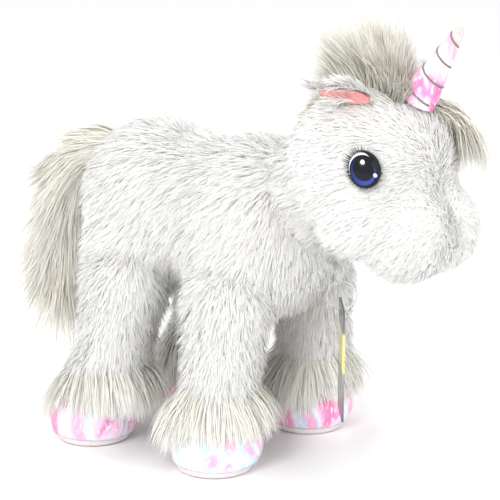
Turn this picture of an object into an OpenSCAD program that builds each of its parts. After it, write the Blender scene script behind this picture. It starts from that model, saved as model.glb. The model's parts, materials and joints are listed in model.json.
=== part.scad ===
// Plush unicorn that stands on four legs: skins, stuffing, hooves, horn, eyes, ears, hair and hang tag.
// +X is the way it faces, its right side is -Y, +Z is up, and the soles rest on z = 0.
// The origin is under the middle of the overall length.

/* [Legs] */
// Distance between the front and hind leg axes
leg_spacing = 78; // [70:1:96]
// Distance between the left and right leg axes
leg_track = 80; // [74:1:98]
// Height of the shoulder and hip pivots above the floor
pivot_height = 84; // [76:1:102]
// Radius of a leg with its fur
leg_r = 21.5; // [17:0.5:26]
// Radius of a shoulder or hip ball
joint_ball_r = 25; // [23:0.5:30]
// Height of a hoof above the floor
hoof_height = 26; // [21:1:32]
// Thickness of a sole pad
sole_t = 3; // [2:0.5:4]
// Height of the long-haired cuff
cuff_height = 27; // [22:1:33]

/* [Torso] */
// Radius of the rump with its fur
rump_r = 49; // [40:1:59]
// Radius of the chest with its fur
chest_r = 48; // [40:1:58]
// Thickness of the fur fabric, backing and pile
fur_t = 8; // [6:0.5:10]
// Width of the panel under the belly
belly_width = 26; // [20:1:30]
// Radius of the bean bag in the rump
bean_bag_r = 24; // [19:1:29]

/* [Head] */
// Radius of the head with its fur
head_r = 44; // [37:1:53]
// Distance from the chest centre to the head centre
neck_reach = 73; // [66:1:88]
// Rise of the neck above level
neck_angle = 29; // [24:1:35]
// Radius of the muzzle
muzzle_r = 25; // [21:1:30]
// Width of the strip down the middle of the face
face_strip_width = 18; // [15:1:22]
// Diameter of an eye across its face
eye_d = 15; // [12:0.5:18]
// Length of an ear
ear_length = 32; // [26:1:40]

/* [Horn] */
// Length of the horn from forehead to tip
horn_length = 36; // [30:1:44]
// Radius of the horn at the forehead
horn_base_r = 8.5; // [7:0.5:10.5]
// Radius of the rounded tip
horn_tip_r = 2.4; // [2:0.1:3]
// Turns of thread round the horn
thread_turns = 3; // [2:1:5]

/* [Hair] */
// Height of the mane above the head
mane_height = 30; // [24:1:36]
// Thickness of the mane
mane_width = 20; // [16:1:24]
// Radius of the thickest part of the tail
tail_r = 14; // [11:0.5:17]

/* [Tag] */
// Length of the hang tag
tag_length = 56; // [50:1:66]
// Width of the hang tag
tag_width = 30; // [24:1:34]
// Thickness of the card
tag_t = 1; // [0.8:0.1:1.4]

/* [Movement] */
// Swing of each leg to either side of rest, in degrees
leg_swing = 15; // [10:1:16]
// Nod or turn of the head to either side of rest, in degrees
head_swing = 14; // [10:1:15]

/* [Node] */
// The piece to draw

/* [Hidden] */

$fn = 96;

fit_gap = 0.2;    // between pieces that are sewn or packed together
swing_gap = 0.6;  // between pieces that move past each other
far = 300;        // longer than the whole toy

fur_color = "#F5F2EC";
hair_color = "#ECEADF";
stuffing_color = "#FFFFFF";
bean_color = "#D9D4C8";
shiny_color = "#F2C9E0";
sole_color = "#F3EAE8";
pink_color = "#F0908A";
thread_color = "#5B4A46";
eye_color = "#14161C";
tag_color = "#EBD24E";

// Torso: a round rump and a round chest, joined by a slightly narrower barrel.
rump_x = -leg_spacing / 2 + 0.18 * rump_r;
rump_z = pivot_height + 0.65 * rump_r;
chest_x = leg_spacing / 2;
chest_z = pivot_height + 0.63 * chest_r;
barrel_slim = 0.97;

// Head: it sits on a ball in the chest, and both are turned by the neck angle.
neck_socket = 0.85 * chest_r;
neck_ball_r = 0.68 * chest_r;
neck_core_r = 0.44 * chest_r;
neck_x = chest_x + neck_socket * cos(neck_angle);
neck_z = chest_z + neck_socket * sin(neck_angle);
head_x = chest_x + neck_reach * cos(neck_angle);
head_z = chest_z + neck_reach * sin(neck_angle);
head_cone = 90 - 1.45 * head_swing;
muzzle_x = head_x + 0.62 * head_r;
muzzle_z = head_z - 0.5 * head_r;
lobe_y = 0.3 * muzzle_r;
lobe_r = 0.93 * muzzle_r;

// Eyes look outwards and a little forwards and up.
eye_yaw = 66;
eye_pitch = 8;
eye_sink = 2.5;
eye_stem_r = 2;
eye_stem_length = 9;
eye_dome_r = 0.62 * eye_d;
eye_dome_height = 0.26 * eye_d;
washer_r = 5;
washer_t = 1.2;

// Horn: it leans forward and stands in a shallow socket in the forehead.
horn_lean = 32;
horn_ball_r = horn_base_r + 0.5;
horn_seat = 34;
horn_x = head_x + head_r * sin(horn_seat) - 2 * sin(horn_lean);
horn_z = head_z + head_r * cos(horn_seat) - 2 * cos(horn_lean);
thread_t = 1;
thread_sweep = 18;
thread_slices = 72;

// Ears lie back and outwards from a point beside the crown.
ear_t = 3;
ear_lining_t = 1.2;
ear_width = 0.55 * ear_length;
ear_side = 30;
ear_front = 20;
ear_lift = 2.5;
ear_base_x = head_x + (head_r + ear_lift) * sin(ear_front) * cos(ear_side);
ear_base_y = (head_r + ear_lift) * sin(ear_side);
ear_base_z = head_z + (head_r + ear_lift) * cos(ear_front) * cos(ear_side);
ear_turn = 146;
ear_rise = 6;
ear_roll = 38;

// Mane: a crest of hair over the crown, from the horn to the nape.
mane_front = 62;
mane_back = 142;
mane_sink = 0.4;

// Tail: a plume that follows an arc behind the rump.
tail_root_angle = 42;
tail_root_r = 9;
tail_room_depth = 10;
tail_pivot_x = rump_x - (rump_r + 2) * cos(tail_root_angle);
tail_pivot_z = rump_z + (rump_r + 2) * sin(tail_root_angle);
tail_arc_r = 70;
tail_start = 112;
tail_bend = 28;
tail_end = 212;
tail_axis_x = tail_pivot_x - tail_arc_r * cos(tail_start);
tail_axis_z = tail_pivot_z - tail_arc_r * sin(tail_start);
tail_tip_r = 0.55 * tail_r;

// Hang tag on a loop at the front of the chest.
tag_side = 4;
tag_turn = 37;
loop_r = 7;
loop_t = 0.9;
tag_hole_r = 2.2;
tag_x = chest_x + 0.92 * chest_r;
tag_z = chest_z - 0.63 * chest_r;
tag_hole_gap = 0.3;

// Mouth stitch round the front of the muzzle.
stitch_t = 1.2;
stitch_top = 8;
stitch_bottom = -58;

front_end = muzzle_x + muzzle_r;
back_end = tail_axis_x - tail_arc_r - tail_r;
origin_x = (front_end + back_end) / 2;

// ---- helpers ----

// Everything is drawn from the middle of the legs and moved to the origin in one step.
module to_origin() {
    translate([-origin_x, 0, 0]) children();
}

module side(sign) {
    if (sign > 0) mirror([0, 1, 0]) children();
    else children();
}

module slab_y(low, high) {
    translate([-far, low, -far]) cube([2 * far, high - low, 2 * far]);
}

module at_leg(fore, sign) {
    translate([fore * leg_spacing / 2, sign * leg_track / 2, 0]) children();
}

// A sector of a ring that lies in the X-Z plane, with 0 degrees along +X and 90 degrees up.
module upright_ring(start, sweep) {
    rotate([90, 0, 0]) rotate([0, 0, start]) rotate_extrude(angle = sweep) children();
}

// ---- torso ----

module chest_form(inset) {
    translate([chest_x, 0, chest_z]) sphere(r = chest_r - inset);
}

module rump_and_barrel_form(inset) {
    translate([rump_x, 0, rump_z]) sphere(r = rump_r - inset);
    tilt = atan2(chest_z - rump_z, chest_x - rump_x);
    translate([rump_x, 0, rump_z])
        rotate([0, 90 - tilt, 0])
            cylinder(
                h = norm([chest_x - rump_x, chest_z - rump_z]),
                r1 = barrel_slim * rump_r - inset,
                r2 = barrel_slim * chest_r - inset
            );
}

module torso_form(inset) {
    chest_form(inset);
    rump_and_barrel_form(inset);
}

// The space that a swinging leg needs below its ball.
module leg_sweep() {
    reach = pivot_height;
    top = (leg_r + swing_gap) / cos(leg_swing);
    bottom = top + reach * tan(leg_swing);
    rotate([90, 0, 0])
        linear_extrude(height = 2 * (leg_r + swing_gap), center = true)
            polygon([[-top, 0], [top, 0], [bottom, -reach], [-bottom, -reach]]);
}

module leg_room(inset) {
    for (fore = [-1, 1], sign = [-1, 1])
        at_leg(fore, sign) translate([0, 0, pivot_height]) {
            sphere(r = joint_ball_r + swing_gap + inset);
            leg_sweep();
        }
}

module neck_ball_room() {
    translate([neck_x, 0, neck_z]) sphere(r = neck_ball_r + swing_gap);
}

module neck_room() {
    neck_ball_room();
    at_neck() translate([-far, -far, swing_gap]) cube(2 * far);
}

module tail_room() {
    translate([tail_pivot_x, 0, tail_pivot_z]) sphere(r = tail_root_r + tail_room_depth);
}

module torso_skin(sign) {
    color(fur_color) difference() {
        torso_form(0);
        torso_form(fur_t);
        side(sign) slab_y(0, far);
        belly_panel_room();
        leg_room(0);
        neck_room();
        tail_room();
    }
}

// The part of the torso that the belly panel takes.
module belly_panel_room() {
    translate([-far, -belly_width / 2, -far]) cube([2 * far, belly_width, far + pivot_height]);
}

module belly_panel() {
    color(fur_color) difference() {
        intersection() {
            torso_form(0);
            slab_y(-belly_width / 2 + fit_gap, belly_width / 2 - fit_gap);
            translate([-far, -far, -far]) cube([2 * far, 2 * far, far + pivot_height - fit_gap]);
        }
        torso_form(fur_t);
        leg_room(0);
    }
}

module torso_stuffing() {
    inset = fur_t + fit_gap;
    color(stuffing_color) difference() {
        union() {
            difference() {
                chest_form(inset);
                neck_ball_room();
            }
            rump_and_barrel_form(inset);
        }
        leg_room(0);
        bean_bag_space(fit_gap);
    }
}

module bean_bag_space(extra) {
    translate([rump_x, 0, rump_z + 0.1 * rump_r]) sphere(r = bean_bag_r + extra);
}

module bean_bag() {
    color(bean_color) difference() {
        bean_bag_space(0);
        leg_room(2 * fit_gap);
    }
}

// ---- legs ----

module leg_form(inset) {
    translate([0, 0, pivot_height]) sphere(r = joint_ball_r - inset);
    translate([0, 0, hoof_height]) cylinder(h = pivot_height - hoof_height, r = leg_r - inset);
}

module leg_skin() {
    color(fur_color) difference() {
        leg_form(0);
        leg_form(fur_t);
    }
}

module leg_stuffing() {
    color(stuffing_color) leg_form(fur_t + fit_gap);
}

hoof_r = leg_r - fit_gap;
hoof_cloth_t = 1.5;
cuff_inner_r = leg_r + fit_gap;
cuff_flare = 4.5;
cuff_top_t = 1;
cuff_bottom = 0.6 * hoof_height;

module cuff() {
    color(hair_color) translate([0, 0, cuff_bottom]) difference() {
        cylinder(h = cuff_height, r1 = cuff_inner_r + cuff_flare, r2 = cuff_inner_r + cuff_top_t);
        translate([0, 0, -1]) cylinder(h = cuff_height + 2, r = cuff_inner_r);
    }
}

module hoof() {
    color(shiny_color) difference() {
        translate([0, 0, sole_t + fit_gap])
            cylinder(h = hoof_height - sole_t - 2 * fit_gap, r = hoof_r);
        translate([0, 0, -1]) cylinder(h = hoof_height + 2, r = hoof_r - hoof_cloth_t);
    }
}

module sole() {
    color(sole_color) cylinder(h = sole_t, r = hoof_r);
}

module hoof_beans() {
    color(bean_color)
        translate([0, 0, sole_t + fit_gap])
            cylinder(
                h = hoof_height - sole_t - 2 * fit_gap,
                r = hoof_r - hoof_cloth_t - fit_gap
            );
}

// ---- head ----

module at_neck() {
    translate([neck_x, 0, neck_z]) rotate([0, 90 - neck_angle, 0]) children();
}

module neck_core() {
    color(stuffing_color) at_neck() sphere(r = neck_core_r);
}

// The head keeps inside a cone from the neck, so that it clears the chest when it moves.
module head_cone_room() {
    at_neck() cylinder(h = far, r1 = 0, r2 = far * tan(head_cone));
}

module head_form(inset) {
    at_neck() sphere(r = neck_ball_r - inset);
    intersection() {
        union() {
            translate([head_x, 0, head_z]) sphere(r = head_r - inset);
            for (sign = [-1, 1])
                translate([muzzle_x, sign * lobe_y, muzzle_z]) sphere(r = lobe_r - inset);
        }
        head_cone_room();
    }
}

module horn_room(extra) {
    at_horn() sphere(r = horn_ball_r + extra);
    at_horn() cylinder(h = horn_length, r = horn_base_r + extra + 1);
}

module eye_room() {
    for (sign = [-1, 1]) side(sign) at_eye() eye_form(fit_gap);
}

module head_shell() {
    difference() {
        head_form(0);
        head_form(fur_t);
        at_neck() sphere(r = neck_core_r + swing_gap);
        horn_room(swing_gap);
        eye_room();
    }
}

module head_skin(sign) {
    color(fur_color) difference() {
        head_shell();
        side(sign) slab_y(-face_strip_width / 2, far);
    }
}

module face_strip() {
    color(fur_color) intersection() {
        head_shell();
        slab_y(-face_strip_width / 2 + fit_gap, face_strip_width / 2 - fit_gap);
    }
}

// The stuffing keeps clear of the horn's seat and of the eyes' stems and washers.
module head_stuffing() {
    inset = fur_t + fit_gap;
    color(stuffing_color) difference() {
        union() {
            at_neck() sphere(r = neck_ball_r - inset);
            translate([head_x, 0, head_z]) sphere(r = head_r - eye_sink - eye_stem_length - 2 * fit_gap);
            translate([muzzle_x, 0, muzzle_z]) sphere(r = sqrt(pow(lobe_r - inset, 2) - pow(lobe_y, 2)));
        }
        at_neck() sphere(r = neck_core_r + swing_gap);
    }
}

// ---- eyes ----

module at_eye() {
    translate([head_x, 0, head_z])
        rotate([0, 0, -eye_yaw])
            rotate([0, 90 - eye_pitch, 0])
                translate([0, 0, head_r - eye_sink])
                    children();
}

module eye_form(extra) {
    intersection() {
        translate([0, 0, eye_dome_height - eye_dome_r]) sphere(r = eye_dome_r + extra);
        translate([0, 0, -extra]) cylinder(h = far, r = eye_d / 2 + extra);
    }
    translate([0, 0, -eye_stem_length]) cylinder(h = eye_stem_length + 1, r = eye_stem_r + extra);
}

module eye(sign) {
    color(eye_color) side(sign) at_eye() eye_form(0);
}

module eye_washer(sign) {
    color(sole_color) side(sign) at_eye() difference() {
        translate([0, 0, 1 - eye_stem_length]) cylinder(h = washer_t, r = washer_r);
        translate([0, 0, -eye_stem_length]) cylinder(h = eye_stem_length, r = eye_stem_r + fit_gap);
    }
}

// ---- mouth, mane and forelock ----

module mouth_stitch() {
    color(thread_color)
        translate([muzzle_x, 0, muzzle_z])
            upright_ring(stitch_bottom, stitch_top - stitch_bottom)
                translate([sqrt(pow(lobe_r, 2) - pow(lobe_y, 2)) + stitch_t / 2 + fit_gap, 0])
                    circle(d = stitch_t);
}

module mane_section(height) {
    low = head_r + mane_sink;
    translate([low, -mane_width / 2]) square([height - mane_width / 2, mane_width]);
    translate([low + height - mane_width / 2, 0]) circle(d = mane_width);
}

module mane() {
    color(hair_color) difference() {
        translate([head_x, 0, head_z])
            upright_ring(mane_front, mane_back - mane_front)
                intersection() {
                    mane_section(mane_height);
                    translate([0, -mane_width / 2]) square([far, mane_width]);
                }
        horn_room(swing_gap + fit_gap);
    }
}

forelock_t = 5;
forelock_lean = 26;
forelock_top = 60;
forelock_bottom = 2;
forelock_width = 20;

// Long hair that falls from the crown down the left side of the face.
module forelock() {
    color(hair_color) difference() {
        translate([head_x, 0, head_z])
            rotate([0, 0, forelock_lean])
                upright_ring(forelock_bottom, forelock_top - forelock_bottom)
                    translate([head_r + mane_sink, -forelock_width / 2])
                        square([forelock_t, forelock_width]);
        horn_room(swing_gap + fit_gap);
        for (sign = [-1, 1])
            translate([muzzle_x, sign * lobe_y, muzzle_z]) sphere(r = lobe_r + fit_gap);
        translate([head_x, 0, head_z])
            upright_ring(mane_front - 1, mane_back - mane_front)
                translate([head_r - 1, -mane_width / 2 - fit_gap])
                    square([mane_height, mane_width + 2 * fit_gap]);
    }
}

// ---- horn ----

module at_horn() {
    translate([horn_x, 0, horn_z]) rotate([0, horn_lean, 0]) children();
}

horn_cloth_t = 1.2;

module horn_form(inset) {
    sphere(r = horn_ball_r - inset);
    cylinder(h = horn_length, r1 = horn_base_r - inset, r2 = horn_tip_r - inset);
    translate([0, 0, horn_length]) sphere(r = horn_tip_r - inset);
}

module horn_cover() {
    color(shiny_color) at_horn() difference() {
        horn_form(0);
        horn_form(horn_cloth_t);
    }
}

module horn_stuffing() {
    color(stuffing_color) at_horn() horn_form(horn_cloth_t + fit_gap);
}

// A helix round the cone: each slice is a short arc, so that the thread keeps its thickness.
module horn_thread() {
    start = 0.12 * horn_length;
    height = 0.8 * horn_length;
    low_r = horn_base_r + (horn_tip_r - horn_base_r) * start / horn_length;
    high_r = horn_base_r + (horn_tip_r - horn_base_r) * (start + height) / horn_length;
    outer = low_r + thread_t + 0.4;
    color(thread_color)
        at_horn()
            difference() {
                translate([0, 0, start])
                    linear_extrude(
                        height = height,
                        twist = -360 * thread_turns,
                        scale = (high_r + thread_t) / (low_r + thread_t),
                        slices = thread_slices,
                        $fn = 12
                    )
                        intersection() {
                            difference() {
                                circle(r = outer, $fn = 40);
                                circle(r = low_r - 1, $fn = 40);
                            }
                            polygon([
                                [0, 0],
                                [2 * outer * cos(thread_sweep), -2 * outer * sin(thread_sweep)],
                                [2 * outer * cos(thread_sweep), 2 * outer * sin(thread_sweep)]
                            ]);
                        }
                horn_form(-0.1);
            }
}

// ---- ears ----

// An ear's own frame: z is its thickness, and x runs from its base to its tip.
module at_ear() {
    translate([ear_base_x, -ear_base_y, ear_base_z])
        rotate([0, 0, -ear_turn])
            rotate([0, -ear_rise, 0])
                rotate([-ear_roll, 0, 0])
                    children();
}

// A pointed leaf: two circles that cross at the base and at the tip.
module ear_leaf(inset) {
    half = ear_length / 2;
    bulge = ear_width / 2;
    leaf_r = (pow(half, 2) + pow(bulge, 2)) / (2 * bulge);
    translate([half, 0])
        intersection() {
            translate([0, leaf_r - bulge]) circle(r = leaf_r - inset);
            translate([0, bulge - leaf_r]) circle(r = leaf_r - inset);
        }
}

module ear(sign) {
    color(fur_color) side(sign) at_ear() linear_extrude(height = ear_t) ear_leaf(0);
}

module ear_lining(sign) {
    color(pink_color)
        side(sign)
            at_ear()
                translate([0, 0, -ear_lining_t - fit_gap / 2])
                    linear_extrude(height = ear_lining_t) ear_leaf(1.5);
}

// ---- tail ----

module at_tail() {
    translate([tail_axis_x, 0, tail_axis_z]) children();
}

module tail_bulb(angle, radius) {
    translate([tail_arc_r * cos(angle), 0, tail_arc_r * sin(angle)]) sphere(r = radius);
}

module tail_tube(start, end, radius) {
    upright_ring(start, end - start) translate([tail_arc_r, 0]) circle(r = radius);
}

module tail_core() {
    color(stuffing_color)
        translate([tail_pivot_x, 0, tail_pivot_z]) sphere(r = tail_root_r - 3);
}

module tail_hair() {
    bend = tail_start + tail_bend;
    taper = tail_end - 14;
    bulb_step = 0.5;
    color(hair_color) difference() {
        at_tail() {
            tail_bulb(tail_start, tail_root_r + bulb_step);
            tail_tube(tail_start, bend, tail_root_r);
            tail_bulb(bend, tail_r + bulb_step);
            tail_tube(bend, taper, tail_r);
            tail_bulb(taper, tail_r + bulb_step);
            tail_tube(taper, tail_end, tail_tip_r);
            tail_bulb(tail_end, tail_tip_r + bulb_step);
        }
        translate([tail_pivot_x, 0, tail_pivot_z]) sphere(r = tail_root_r - 3 + swing_gap);
    }
}

// ---- tag ----

module at_tag() {
    translate([tag_x, tag_side, tag_z]) rotate([0, 0, tag_turn]) children();
}

// The loop lies in a plane square to the card, and the top of the card's hole hangs on its lowest point.
module tag_loop() {
    color(sole_color) at_tag()
        rotate([90, 0, 0]) rotate_extrude() translate([loop_r, 0]) circle(d = loop_t);
}

module hang_tag() {
    corner = 3;
    color(tag_color) at_tag()
        translate([0, 0, loop_t / 2 + tag_hole_gap - loop_r - tag_hole_r])
            rotate([0, 90, 0])
                translate([0, 0, -tag_t / 2])
                    linear_extrude(height = tag_t)
                        difference() {
                            translate([-2 * tag_hole_r, -tag_width / 2])
                                rounded_square(tag_length, tag_width, corner);
                            circle(r = tag_hole_r);
                        }
}

module rounded_square(length, width, corner) {
    translate([corner, 0]) square([length - 2 * corner, width]);
    translate([0, corner]) square([length, width - 2 * corner]);
    for (x = [corner, length - corner], y = [corner, width - corner])
        translate([x, y]) circle(r = corner);
}

// ---- pieces ----

to_origin() torso_skin(-1);  // torso_skin_right
to_origin() torso_skin(1);  // torso_skin_left
to_origin() belly_panel();
to_origin() torso_stuffing();
to_origin() bean_bag();

to_origin() at_leg(1, -1) leg_skin();  // front_right_leg_skin
to_origin() at_leg(1, -1) leg_stuffing();  // front_right_leg_stuffing
to_origin() at_leg(1, -1) cuff();  // front_right_cuff
to_origin() at_leg(1, -1) hoof();  // front_right_hoof
to_origin() at_leg(1, -1) sole();  // front_right_sole
to_origin() at_leg(1, -1) hoof_beans();  // front_right_hoof_beans

to_origin() at_leg(1, 1) leg_skin();  // front_left_leg_skin
to_origin() at_leg(1, 1) leg_stuffing();  // front_left_leg_stuffing
to_origin() at_leg(1, 1) cuff();  // front_left_cuff
to_origin() at_leg(1, 1) hoof();  // front_left_hoof
to_origin() at_leg(1, 1) sole();  // front_left_sole
to_origin() at_leg(1, 1) hoof_beans();  // front_left_hoof_beans

to_origin() at_leg(-1, -1) leg_skin();  // hind_right_leg_skin
to_origin() at_leg(-1, -1) leg_stuffing();  // hind_right_leg_stuffing
to_origin() at_leg(-1, -1) cuff();  // hind_right_cuff
to_origin() at_leg(-1, -1) hoof();  // hind_right_hoof
to_origin() at_leg(-1, -1) sole();  // hind_right_sole
to_origin() at_leg(-1, -1) hoof_beans();  // hind_right_hoof_beans

to_origin() at_leg(-1, 1) leg_skin();  // hind_left_leg_skin
to_origin() at_leg(-1, 1) leg_stuffing();  // hind_left_leg_stuffing
to_origin() at_leg(-1, 1) cuff();  // hind_left_cuff
to_origin() at_leg(-1, 1) hoof();  // hind_left_hoof
to_origin() at_leg(-1, 1) sole();  // hind_left_sole
to_origin() at_leg(-1, 1) hoof_beans();  // hind_left_hoof_beans

to_origin() neck_core();
to_origin() head_skin(-1);  // head_skin_right
to_origin() head_skin(1);  // head_skin_left
to_origin() face_strip();
to_origin() head_stuffing();
to_origin() eye(-1);  // eye_right
to_origin() eye(1);  // eye_left
to_origin() eye_washer(-1);  // eye_washer_right
to_origin() eye_washer(1);  // eye_washer_left
to_origin() mane();
to_origin() forelock();
to_origin() mouth_stitch();

to_origin() horn_cover();
to_origin() horn_stuffing();
to_origin() horn_thread();

to_origin() ear(-1);  // ear_right
to_origin() ear(1);  // ear_left
to_origin() ear_lining(-1);  // ear_lining_right
to_origin() ear_lining(1);  // ear_lining_left

to_origin() tail_core();
to_origin() tail_hair();
to_origin() tag_loop();
to_origin() hang_tag();
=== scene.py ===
"""Looks of the plush unicorn: fur, long hair, hooves, horn, eyes, ears, tag, floor, lights and camera."""
import json
import math

import bmesh
import bpy
import numpy as np
from mathutils import Matrix, Vector


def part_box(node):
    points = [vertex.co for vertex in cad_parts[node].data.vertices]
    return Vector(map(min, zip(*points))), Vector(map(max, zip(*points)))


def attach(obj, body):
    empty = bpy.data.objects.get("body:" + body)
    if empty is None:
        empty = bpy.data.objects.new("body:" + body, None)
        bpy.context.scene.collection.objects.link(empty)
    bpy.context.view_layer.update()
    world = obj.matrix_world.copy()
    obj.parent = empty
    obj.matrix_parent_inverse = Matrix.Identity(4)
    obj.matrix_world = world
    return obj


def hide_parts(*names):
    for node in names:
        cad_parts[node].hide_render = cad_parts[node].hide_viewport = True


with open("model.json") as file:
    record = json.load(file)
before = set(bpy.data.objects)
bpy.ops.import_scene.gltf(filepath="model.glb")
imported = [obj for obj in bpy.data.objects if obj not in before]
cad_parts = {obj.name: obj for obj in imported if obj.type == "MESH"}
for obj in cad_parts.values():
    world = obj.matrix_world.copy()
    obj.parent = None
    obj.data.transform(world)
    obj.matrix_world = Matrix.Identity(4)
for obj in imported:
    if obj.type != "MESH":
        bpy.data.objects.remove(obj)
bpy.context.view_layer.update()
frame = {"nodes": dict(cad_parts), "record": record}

MM = 0.001
SIDES = {"right": -1, "left": 1}
LEGS = ("front_right", "front_left", "hind_right", "hind_left")
JOINTS = {j["name"]: j for j in frame["record"]["behaviour"]["joints"]}
DENSITY_SCALE = 1.0


# ---- places that the CAD gives ----

def box(node):
    low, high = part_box(node)
    return Vector(low), Vector(high)


def centre(node):
    low, high = box(node)
    return (low + high) / 2


def pivot(joint):
    return Vector(JOINTS[joint]["pos_m"])


NECK = pivot("head_nod")
HORN = pivot("horn_bend")
TAIL = pivot("tail_lift")
FRONT_X = centre("front_right_cuff").x
HIND_X = centre("hind_right_cuff").x
HIP_Z = pivot("front_right_leg_swing").z
LEG_R = (box("front_right_sole")[1].x - box("front_right_sole")[0].x) / 2
RUMP_R = 44 * MM
CHEST_R = 48 * MM
HEAD_R = 44 * MM
RUMP = Vector((HIND_X + 15 * MM, 0, HIP_Z + 37 * MM))
CHEST = Vector((FRONT_X, 0, HIP_Z + 0.63 * CHEST_R))
NECK_DIR = (NECK - CHEST).normalized()
HEAD = CHEST + NECK_DIR * 73 * MM
MUZZLE = HEAD + Vector((0.62 * HEAD_R, 0, -0.5 * HEAD_R))


# ---- meshes ----

def link(obj):
    bpy.context.scene.collection.objects.link(obj)
    return obj


def new_object(name, mesh):
    return link(bpy.data.objects.new(name, mesh))


def mesh_from(name, verts, faces, smooth=True):
    mesh = bpy.data.meshes.new(name)
    mesh.from_pydata([tuple(v) for v in verts], [], faces)
    mesh.update()
    for poly in mesh.polygons:
        poly.use_smooth = smooth
    return mesh


def applied(obj):
    """Applies an object's modifiers by making a plain mesh of what they give."""
    depsgraph = bpy.context.evaluated_depsgraph_get()
    mesh = bpy.data.meshes.new_from_object(obj.evaluated_get(depsgraph), depsgraph=depsgraph)
    old = obj.data
    obj.modifiers.clear()
    obj.data = mesh
    mesh.name = obj.name
    bpy.data.meshes.remove(old)
    return obj


def ball(bm, place, radii, turn=None):
    matrix = Matrix.Translation(place)
    if turn is not None:
        matrix = matrix @ turn
    matrix = matrix @ Matrix.Diagonal((*radii, 1.0))
    bmesh.ops.create_uvsphere(bm, u_segments=40, v_segments=24, radius=1.0, matrix=matrix)


def limb(bm, start, end, r_start, r_end):
    """A cone frustum between two points."""
    way = Vector(end) - Vector(start)
    turn = way.to_track_quat("Z", "Y").to_matrix().to_4x4()
    matrix = Matrix.Translation((Vector(start) + Vector(end)) / 2) @ turn
    bmesh.ops.create_cone(
        bm, cap_ends=True, segments=40, radius1=r_start, radius2=r_end,
        depth=way.length, matrix=matrix,
    )


def melt(name, build, voxel=3.0 * MM, rounds=12, factor=0.6):
    """A closed soft form: simple shapes that are merged by a voxel remesh and then smoothed."""
    bm = bmesh.new()
    build(bm)
    mesh = bpy.data.meshes.new(name)
    bm.to_mesh(mesh)
    bm.free()
    obj = new_object(name, mesh)
    remesh = obj.modifiers.new("remesh", "REMESH")
    remesh.mode = "VOXEL"
    remesh.voxel_size = voxel
    smooth = obj.modifiers.new("smooth", "SMOOTH")
    smooth.iterations = rounds
    smooth.factor = factor
    applied(obj)
    for poly in obj.data.polygons:
        poly.use_smooth = True
    return obj


def points_of(mesh):
    flat = np.empty(len(mesh.vertices) * 3)
    mesh.vertices.foreach_get("co", flat)
    return flat.reshape(-1, 3)


def normals_of(mesh):
    flat = np.empty(len(mesh.vertices) * 3, dtype=np.float32)
    mesh.vertex_normals.foreach_get("vector", flat)
    return flat.reshape(-1, 3).astype(float)


def unit(v):
    return v / np.maximum(np.linalg.norm(v, axis=-1, keepdims=True), 1e-9)


def along_surface(direction, normal):
    """The part of a direction that lies in the surface."""
    return direction - normal * np.sum(direction * normal, axis=-1, keepdims=True)


def smoothstep(low, high, x):
    t = np.clip((x - low) / (high - low), 0.0, 1.0)
    return t * t * (3 - 2 * t)


# ---- materials ----

class Tree:
    """A thin helper to write node trees in a few words."""

    def __init__(self, tree):
        self.tree = tree
        self.nodes = tree.nodes

    def add(self, kind, inputs=None, **settings):
        node = self.nodes.new(kind)
        for key, value in settings.items():
            setattr(node, key, value)
        for key, value in (inputs or {}).items():
            self.put(node.inputs[key], value)
        return node

    def put(self, socket, value):
        if isinstance(value, bpy.types.NodeSocket):
            self.tree.links.new(value, socket)
        elif isinstance(value, bpy.types.Node):
            self.tree.links.new(first_output(value), socket)
        else:
            socket.default_value = value

    def math(self, operation, *values, clamp=False):
        node = self.add("ShaderNodeMath", operation=operation, use_clamp=clamp)
        for i, value in enumerate(values):
            self.put(node.inputs[i], value)
        return node.outputs[0]

    def vmath(self, operation, *values):
        node = self.add("ShaderNodeVectorMath", operation=operation)
        slots = [s for s in node.inputs if s.enabled]
        for slot, value in zip(slots, values):
            self.put(slot, value)
        scalar = operation in ("DOT_PRODUCT", "LENGTH", "DISTANCE")
        return node.outputs["Value" if scalar else "Vector"]

    def mix(self, factor, a, b, blend_type="MIX"):
        """Blends two colours by a factor."""
        node = self.add("ShaderNodeMix", data_type="RGBA", blend_type=blend_type)
        for key, value in (("Factor", factor), ("A", a), ("B", b)):
            self.put(next(s for s in node.inputs if s.name == key and s.enabled), value)
        return first_output(node)

    def scaled(self, vector, factor):
        node = self.add("ShaderNodeVectorMath", operation="SCALE")
        self.put(node.inputs[0], vector)
        self.put(node.inputs["Scale"], factor)
        return node.outputs["Vector"]


def first_output(node):
    return next(o for o in node.outputs if o.enabled)


def material(name, color, roughness=0.7, **shader_values):
    mat = bpy.data.materials.new(name)
    mat.use_nodes = True
    tree = Tree(mat.node_tree)
    shader = mat.node_tree.nodes["Principled BSDF"]
    shader.inputs["Base Color"].default_value = (*color, 1.0)
    shader.inputs["Roughness"].default_value = roughness
    for key, value in shader_values.items():
        shader.inputs[key.replace("_", " ").title()].default_value = value
    return mat, tree, shader


def ramp(tree, factor, stops):
    node = tree.add("ShaderNodeValToRGB", {"Fac": factor})
    elements = node.color_ramp.elements
    while len(elements) < len(stops):
        elements.new(0.5)
    for element, (place, color) in zip(elements, stops):
        element.position = place
        element.color = (*color, 1.0)
    return node.outputs["Color"]


def object_noise(tree, scale, detail=3.0):
    coords = tree.add("ShaderNodeTexCoord").outputs["Object"]
    return tree.add("ShaderNodeTexNoise", {"Vector": coords, "Scale": scale, "Detail": detail})


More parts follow.
